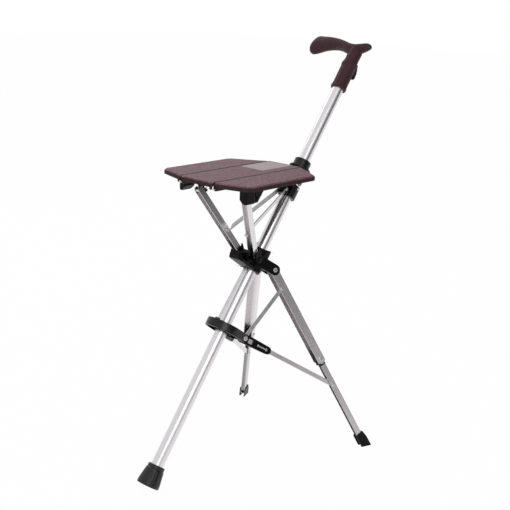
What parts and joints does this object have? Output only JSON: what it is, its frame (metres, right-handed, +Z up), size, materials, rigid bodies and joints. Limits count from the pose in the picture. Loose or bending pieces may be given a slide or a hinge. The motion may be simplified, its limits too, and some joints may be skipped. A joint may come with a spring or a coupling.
{
  "type": "walking stick seat",
  "caption": "Walking stick that unfolds into a small tripod seat, with three brown planks on slim silver legs.",
  "frame": {"origin": "on the floor, under the middle of the bounding box", "axes": "+Z up, +X towards the handle's side, +Y to the left of someone facing the handle"},
  "size_m": [0.5628, 0.3412, 0.7603],
  "materials": {
    "aluminium": "bright anodised",
    "steel": "plated",
    "black_plastic": "glossy moulded",
    "maroon_plastic": "leather grain",
    "black_rubber": "matt"
  },
  "bodies": {
    "frame": {"main_tube": "aluminium", "rubber_tip": "black_rubber", "handle": "maroon_plastic", "trigger_pin": "steel", "trigger_spring": "steel", "hub": "black_plastic", "hub_screws": "steel", "yoke_pin": "steel", "leg_pivot_rivets": "steel"},
    "yoke": {"strut_yoke": "black_plastic", "strut_foot_rivets": "steel"},
    "seat": {"centre_plank": "maroon_plastic", "hinge_rods": "steel", "seat_hinge_pin": "steel"},
    "collar": {"collar": "black_plastic"},
    "runner": {"runner": "black_plastic", "runner_rivets": "steel"},
    "ring": {"ring": "black_plastic", "ring_rivets": "steel", "front_strip": "steel"},
    "trigger": {"trigger": "black_plastic"},
    "release": {"pull_rod": "steel", "latch": "black_plastic"},
    "left_strut": {"left_strut": "aluminium", "left_strut_head_rivet": "steel", "left_strut_link_rivet": "steel"},
    "left_swivel": {"left_strut_swivel": "steel"},
    "left_side": {"left_side_plank": "maroon_plastic", "left_clevis": "black_plastic", "left_clevis_screws": "steel"},
    "left_seat_link": {"left_seat_link": "steel"},
    "left_upper_leg": {"left_upper_leg": "aluminium", "left_knee_rivet": "steel", "left_side_link_rivet": "steel"},
    "left_lower_leg": {"left_lower_leg": "aluminium", "left_boot": "black_rubber", "left_knee_block": "black_plastic", "left_brace_rivet": "steel"},
    "left_brace": {"left_brace": "aluminium", "left_brace_arm": "black_plastic"},
    "left_side_link": {"left_side_link": "steel"},
    "right_strut": {"right_strut": "aluminium", "right_strut_head_rivet": "steel", "right_strut_link_rivet": "steel"},
    "right_swivel": {"right_strut_swivel": "steel"},
    "right_side": {"right_side_plank": "maroon_plastic", "right_clevis": "black_plastic", "right_clevis_screws": "steel"},
    "right_seat_link": {"right_seat_link": "steel"},
    "right_upper_leg": {"right_upper_leg": "aluminium", "right_knee_rivet": "steel", "right_side_link_rivet": "steel"},
    "right_lower_leg": {"right_lower_leg": "aluminium", "right_boot": "black_rubber", "right_knee_block": "black_plastic", "right_brace_rivet": "steel"},
    "right_brace": {"right_brace": "aluminium", "right_brace_arm": "black_plastic"},
    "right_side_link": {"right_side_link": "steel"}
  },
  "joints": [
    {"name": "fold", "type": "hinge", "parent": "frame", "child": "yoke", "pos_m": [-0.03163, 0, 0.38168], "axis": [0, 1, 0], "range_deg": [0, 69.16]},
    {"name": "left_splay", "type": "hinge", "parent": "yoke", "child": "left_strut", "pos_m": [-0.03807, 0.02, 0.39298], "axis": [0.8688, 0, 0.4952], "range_deg": [0, 17.54]},
    {"name": "right_splay", "type": "hinge", "parent": "yoke", "child": "right_strut", "pos_m": [-0.03807, -0.02, 0.39298], "axis": [-0.8688, 0, -0.4952], "range_deg": [0, 17.54]},
    {"name": "seat_pitch", "type": "hinge", "parent": "yoke", "child": "seat", "pos_m": [-0.10206, 0, 0.50854], "axis": [0, -1, 0], "range_deg": [0, 123.16]},
    {"name": "left_plank_turn", "type": "hinge", "parent": "seat", "child": "left_side", "pos_m": [-0.06805, 0.03925, 0.529], "axis": [-1, 0, 0], "range_deg": [0, 85]},
    {"name": "left_swivel_turn", "type": "hinge", "parent": "left_strut", "child": "left_swivel", "pos_m": [-0.10135, 0.056, 0.504], "axis": [-0.1343, -0.9625, 0.2356], "range_deg": [0, 123.16]},
    {"name": "right_plank_turn", "type": "hinge", "parent": "seat", "child": "right_side", "pos_m": [-0.06805, -0.03925, 0.529], "axis": [1, 0, 0], "range_deg": [0, 85]},
    {"name": "right_swivel_turn", "type": "hinge", "parent": "right_strut", "child": "right_swivel", "pos_m": [-0.10135, -0.056, 0.504], "axis": [0.1343, -0.9625, -0.2356], "range_deg": [0, 123.16]},
    {"name": "collar_slide", "type": "slide", "parent": "frame", "child": "collar", "axis": [0.5878, 0, 0.809], "range_m": [0, 0.14007]},
    {"name": "runner_slide", "type": "slide", "parent": "frame", "child": "runner", "axis": [0.5878, 0, 0.809], "range_m": [0, 0.04978]},
    {"name": "left_link_turn", "type": "hinge", "parent": "runner", "child": "left_seat_link", "pos_m": [0.06236, 0.0072, 0.49386], "axis": [-0.1881, -0.9715, 0.1441], "range_deg": [0, 24.86]},
    {"name": "right_link_turn", "type": "hinge", "parent": "runner", "child": "right_seat_link", "pos_m": [0.06236, -0.0072, 0.49386], "axis": [0.1881, -0.9715, -0.1441], "range_deg": [0, 24.86]},
    {"name": "ring_slide", "type": "slide", "parent": "frame", "child": "ring", "axis": [0.5878, 0, 0.809], "range_m": [0, 0.05826]},
    {"name": "left_leg_turn", "type": "hinge", "parent": "frame", "child": "left_upper_leg", "pos_m": [0.01544, 0.02, 0.35119], "axis": [0.3291, -0.9135, -0.2391], "range_deg": [0, 120.86]},
    {"name": "left_knee_turn", "type": "hinge", "parent": "left_upper_leg", "child": "left_lower_leg", "pos_m": [0.08104, 0.08879, 0.17864], "axis": [-0.3291, 0.9135, 0.2391], "range_deg": [0, 178.9]},
    {"name": "left_brace_turn", "type": "hinge", "parent": "ring", "child": "left_brace", "pos_m": [-0.06082, 0.02219, 0.23787], "axis": [0.3291, -0.9135, -0.2391], "range_deg": [0, 89.88]},
    {"name": "left_side_link_turn", "type": "hinge", "parent": "ring", "child": "left_side_link", "pos_m": [-0.06082, 0.02219, 0.23787], "axis": [0.3291, -0.9135, -0.2391], "range_deg": [0, 13.8]},
    {"name": "right_leg_turn", "type": "hinge", "parent": "frame", "child": "right_upper_leg", "pos_m": [0.01544, -0.02, 0.35119], "axis": [-0.3291, -0.9135, 0.2391], "range_deg": [0, 120.86]},
    {"name": "right_knee_turn", "type": "hinge", "parent": "right_upper_leg", "child": "right_lower_leg", "pos_m": [0.08104, -0.08879, 0.17864], "axis": [0.3291, 0.9135, -0.2391], "range_deg": [0, 178.9]},
    {"name": "right_brace_turn", "type": "hinge", "parent": "ring", "child": "right_brace", "pos_m": [-0.06082, -0.02219, 0.23787], "axis": [-0.3291, -0.9135, 0.2391], "range_deg": [0, 89.88]},
    {"name": "right_side_link_turn", "type": "hinge", "parent": "ring", "child": "right_side_link", "pos_m": [-0.06082, -0.02219, 0.23787], "axis": [-0.3291, -0.9135, 0.2391], "range_deg": [0, 13.8]},
    {"name": "trigger_squeeze", "type": "hinge", "parent": "frame", "child": "trigger", "pos_m": [0.25117, 0, 0.70525], "axis": [0, 1, 0], "range_deg": [0, 10]},
    {"name": "release_slide", "type": "slide", "parent": "frame", "child": "release", "axis": [0.5878, 0, 0.809], "range_m": [0, 0.0015], "stiffness_N_per_m": 1500, "springref_m": -0.0003, "deforming": ["trigger_spring"]}
  ],
  "couplings": [
    {"joint": "left_splay", "follows": "fold", "ratio": 0.25368},
    {"joint": "right_splay", "follows": "fold", "ratio": 0.25368},
    {"joint": "seat_pitch", "follows": "fold", "ratio": 1.7808},
    {"joint": "left_plank_turn", "follows": "fold", "ratio": 1.2291},
    {"joint": "left_swivel_turn", "follows": "fold", "ratio": 1.7808},
    {"joint": "right_plank_turn", "follows": "fold", "ratio": 1.2291},
    {"joint": "right_swivel_turn", "follows": "fold", "ratio": 1.7808},
    {"joint": "collar_slide", "follows": "fold", "m_per_rad": 0.11604},
    {"joint": "runner_slide", "follows": "fold", "m_per_rad": 0.041243},
    {"joint": "left_link_turn", "follows": "fold", "ratio": 0.35944},
    {"joint": "right_link_turn", "follows": "fold", "ratio": 0.35944},
    {"joint": "ring_slide", "follows": "fold", "m_per_rad": 0.048266},
    {"joint": "left_leg_turn", "follows": "fold", "ratio": 1.7475},
    {"joint": "left_knee_turn", "follows": "fold", "ratio": 2.5868},
    {"joint": "left_brace_turn", "follows": "fold", "ratio": 1.2996},
    {"joint": "left_side_link_turn", "follows": "fold", "ratio": 0.19958},
    {"joint": "right_leg_turn", "follows": "fold", "ratio": 1.7475},
    {"joint": "right_knee_turn", "follows": "fold", "ratio": 2.5868},
    {"joint": "right_brace_turn", "follows": "fold", "ratio": 1.2996},
    {"joint": "right_side_link_turn", "follows": "fold", "ratio": 0.19958},
    {"joint": "trigger_squeeze", "follows": "release_slide", "rad_per_m": 112.6}
  ]
}
